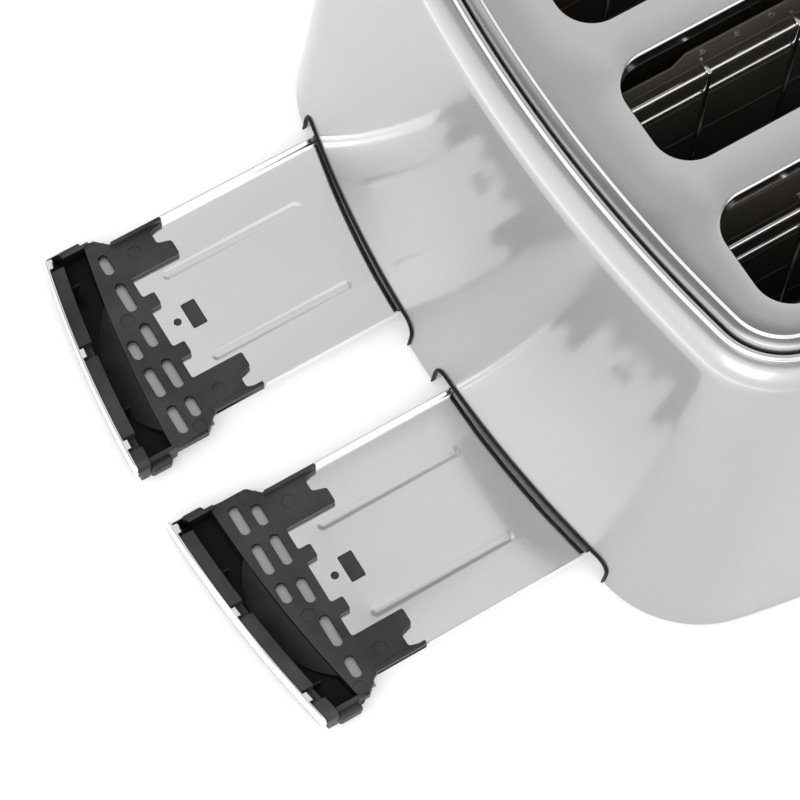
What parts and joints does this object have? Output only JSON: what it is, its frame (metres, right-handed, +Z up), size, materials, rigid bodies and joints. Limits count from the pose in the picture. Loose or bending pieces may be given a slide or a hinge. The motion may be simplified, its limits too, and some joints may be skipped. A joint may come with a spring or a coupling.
{
  "type": "electric toaster",
  "caption": "Toaster with four slots in a bowed stainless body, with levers, dials and buttons in front and two drawn crumb trays behind.",
  "frame": {"origin": "centre of the bounding box in plan, on the counter, with both trays drawn out as at rest", "axes": "+X to the right seen from the front, +Y from the controls to the trays at the back, +Z up"},
  "size_m": [0.318, 0.4114, 0.1813],
  "materials": {
    "shell_steel": "satin stainless sheet",
    "trim_chrome": "polished",
    "panel_steel": "satin",
    "black_plastic": "semi matt moulded",
    "rubber": "matt",
    "galvanised": "zinc plated",
    "mica": "matt mica sheet",
    "nickel_wire": "bright nickel plated",
    "gloss_black": "gloss",
    "magnet_coil": "enamelled copper winding",
    "circuit_board": "matt",
    "control_metal": "satin plated",
    "tray_tin": "bright tinned sheet"
  },
  "bodies": {
    "housing": {"outer_shell": "shell_steel", "top_trim_ring": "trim_chrome", "top_panel": "panel_steel", "base_moulding": "black_plastic", "foot_front_right": "rubber", "foot_front_left": "rubber", "foot_rear_right": "rubber", "foot_rear_left": "rubber", "cord_gland": "rubber", "tray_opening_liner_right": "black_plastic", "tray_opening_liner_left": "black_plastic", "chassis_plate_front": "galvanised", "chassis_plate_rear": "galvanised", "heat_shield_right": "galvanised", "heat_shield_left": "galvanised", "heater_card_inner_right": "mica", "heater_card_inner_left": "mica", "heater_card_middle_right": "mica", "heater_card_middle_left": "mica", "heater_card_outer_right": "mica", "heater_card_outer_left": "mica", "guide_rod_right": "nickel_wire", "guide_rod_left": "nickel_wire", "return_spring_right": "nickel_wire", "return_spring_left": "nickel_wire", "latch_magnet_right": "magnet_coil", "latch_magnet_left": "magnet_coil", "control_fascia": "gloss_black", "circuit_board_right": "circuit_board", "circuit_board_left": "circuit_board"},
    "lift_right": {"carriage_right": "galvanised", "bread_rack_inner_right": "galvanised", "bread_rack_outer_right": "galvanised", "lever_knob_right": "gloss_black"},
    "lift_left": {"carriage_left": "galvanised", "bread_rack_inner_left": "galvanised", "bread_rack_outer_left": "galvanised", "lever_knob_left": "gloss_black"},
    "guides_near_right": {"guide_inner_slot_near_right": "nickel_wire", "guide_outer_slot_near_right": "nickel_wire"},
    "guides_far_right": {"guide_inner_slot_far_right": "nickel_wire", "guide_outer_slot_far_right": "nickel_wire"},
    "guides_near_left": {"guide_inner_slot_near_left": "nickel_wire", "guide_outer_slot_near_left": "nickel_wire"},
    "guides_far_left": {"guide_inner_slot_far_left": "nickel_wire", "guide_outer_slot_far_left": "nickel_wire"},
    "dial_right": {"browning_dial_right": "control_metal"},
    "dial_left": {"browning_dial_left": "control_metal"},
    "cancel_right": {"cancel_button_right": "control_metal"},
    "reheat_right": {"reheat_button_right": "control_metal"},
    "defrost_right": {"defrost_button_right": "control_metal"},
    "cancel_left": {"cancel_button_left": "control_metal"},
    "reheat_left": {"reheat_button_left": "control_metal"},
    "defrost_left": {"defrost_button_left": "control_metal"},
    "tray_right": {"crumb_tray_right": "tray_tin", "tray_front_right": "black_plastic", "tray_face_right": "shell_steel"},
    "tray_left": {"crumb_tray_left": "tray_tin", "tray_front_left": "black_plastic", "tray_face_left": "shell_steel"}
  },
  "joints": [
    {"name": "lift_slide_right", "type": "slide", "parent": "housing", "child": "lift_right", "axis": [0, 0, -1], "range_m": [0, 0.07], "stiffness_N_per_m": 30, "springref_m": -0.15, "deforming": ["return_spring_right"]},
    {"name": "lift_slide_left", "type": "slide", "parent": "housing", "child": "lift_left", "axis": [0, 0, -1], "range_m": [0, 0.07], "stiffness_N_per_m": 30, "springref_m": -0.15, "deforming": ["return_spring_left"]},
    {"name": "guides_near_slide_right", "type": "slide", "parent": "housing", "child": "guides_near_right", "axis": [1, 0, 0], "range_m": [0, 0.0062]},
    {"name": "guides_far_slide_right", "type": "slide", "parent": "housing", "child": "guides_far_right", "axis": [-1, 0, 0], "range_m": [0, 0.0062]},
    {"name": "guides_near_slide_left", "type": "slide", "parent": "housing", "child": "guides_near_left", "axis": [-1, 0, 0], "range_m": [0, 0.0062]},
    {"name": "guides_far_slide_left", "type": "slide", "parent": "housing", "child": "guides_far_left", "axis": [1, 0, 0], "range_m": [0, 0.0062]},
    {"name": "dial_turn_right", "type": "hinge", "parent": "housing", "child": "dial_right", "pos_m": [0.03, -0.18568, 0.05134], "axis": [0, -0.9873, 0.1586], "range_deg": [-135, 135]},
    {"name": "dial_turn_left", "type": "hinge", "parent": "housing", "child": "dial_left", "pos_m": [-0.03, -0.18568, 0.05134], "axis": [0, -0.9873, 0.1586], "range_deg": [-135, 135]},
    {"name": "cancel_press_right", "type": "slide", "parent": "housing", "child": "cancel_right", "axis": [0, 0.9873, -0.1586], "range_m": [0, 0.0025], "stiffness_N_per_m": 200, "springref_m": -0.002},
    {"name": "reheat_press_right", "type": "slide", "parent": "housing", "child": "reheat_right", "axis": [0, 0.9873, -0.1586], "range_m": [0, 0.0025], "stiffness_N_per_m": 200, "springref_m": -0.002},
    {"name": "defrost_press_right", "type": "slide", "parent": "housing", "child": "defrost_right", "axis": [0, 0.9873, -0.1586], "range_m": [0, 0.0025], "stiffness_N_per_m": 200, "springref_m": -0.002},
    {"name": "cancel_press_left", "type": "slide", "parent": "housing", "child": "cancel_left", "axis": [0, 0.9873, -0.1586], "range_m": [0, 0.0025], "stiffness_N_per_m": 200, "springref_m": -0.002},
    {"name": "reheat_press_left", "type": "slide", "parent": "housing", "child": "reheat_left", "axis": [0, 0.9873, -0.1586], "range_m": [0, 0.0025], "stiffness_N_per_m": 200, "springref_m": -0.002},
    {"name": "defrost_press_left", "type": "slide", "parent": "housing", "child": "defrost_left", "axis": [0, 0.9873, -0.1586], "range_m": [0, 0.0025], "stiffness_N_per_m": 200, "springref_m": -0.002},
    {"name": "tray_slide_right", "type": "slide", "parent": "housing", "child": "tray_right", "axis": [0, 1, 0], "range_m": [-0.119, 0.08]},
    {"name": "tray_slide_left", "type": "slide", "parent": "housing", "child": "tray_left", "axis": [0, 1, 0], "range_m": [-0.119, 0.08]}
  ],
  "couplings": [
    {"joint": "guides_near_slide_right", "follows": "lift_slide_right", "ratio": 0.0857},
    {"joint": "guides_far_slide_right", "follows": "lift_slide_right", "ratio": 0.0857},
    {"joint": "guides_near_slide_left", "follows": "lift_slide_left", "ratio": 0.0857},
    {"joint": "guides_far_slide_left", "follows": "lift_slide_left", "ratio": 0.0857}
  ]
}
